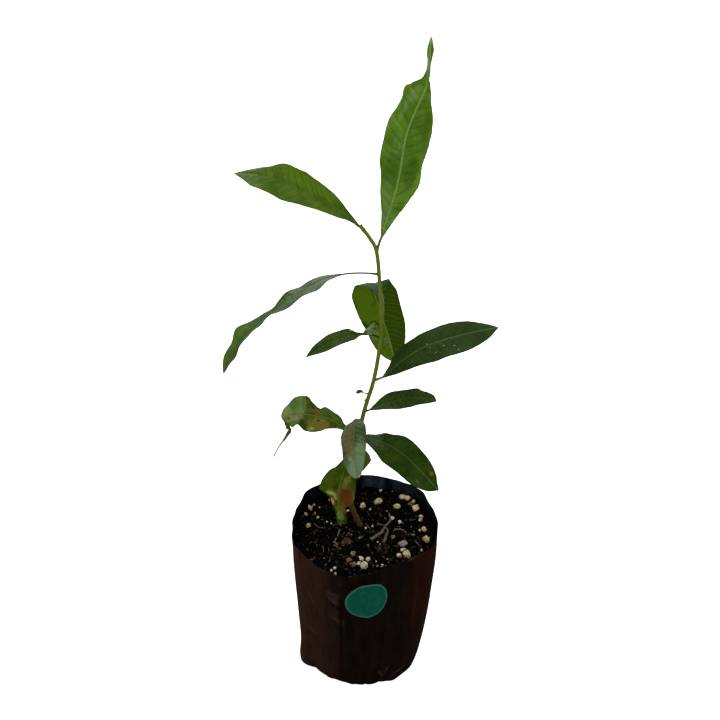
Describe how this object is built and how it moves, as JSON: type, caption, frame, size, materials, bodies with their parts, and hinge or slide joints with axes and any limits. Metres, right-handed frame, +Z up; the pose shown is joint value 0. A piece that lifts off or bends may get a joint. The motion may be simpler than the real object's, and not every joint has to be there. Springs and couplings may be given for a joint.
{
  "type": "potted cashew tree",
  "caption": "Young cashew tree with long wavy leaves on a slender leaning stem, standing in a black film nursery bag filled with potting soil.",
  "frame": {"origin": "middle of the bag's flat underside", "axes": "+Z up along the plant, -Y the front with the sticker, +X to the right seen from the front"},
  "size_m": [0.2348, 0.1493, 0.6501],
  "materials": {
    "film": "thin black plastic film, half gloss, creased",
    "soil": "damp dark potting soil, rough",
    "sticker": "smooth printed film, blank",
    "bark": "smooth green bark, brown and ridged near the soil",
    "leaf": "leathery dark green leaf, half gloss",
    "leaf_young": "thin yellow-green leaf, matt",
    "leaf_pale": "grey-green leaf with a soft sheen",
    "leaf_spotted": "green leaf with ochre and brown patches, matt",
    "dried": "dry brown stalk, matt",
    "pumice": "pale porous grain, matt"
  },
  "bodies": {
    "root": {"bag": "film", "soil": "soil", "sticker": "sticker", "stem": "bark", "leaf_top": "leaf", "leaf_upper_left": "leaf_young", "leaf_left_drooping": "leaf", "leaf_back_folded": "leaf_young", "leaf_crumpled": "leaf_pale", "leaf_small_left": "leaf", "leaf_right_large": "leaf", "dried_stalk": "dried", "leaf_right_small": "leaf", "leaf_front": "leaf_pale", "leaf_lower_left": "leaf_spotted", "leaf_lower_right": "leaf", "leaf_lowest": "leaf_spotted", "pumice_1": "pumice", "pumice_2": "pumice", "pumice_3": "pumice", "pumice_4": "pumice", "pumice_5": "pumice", "pumice_6": "pumice", "pumice_7": "pumice", "pumice_8": "pumice", "pumice_9": "pumice", "pumice_10": "pumice"}
  },
  "joints": []
}
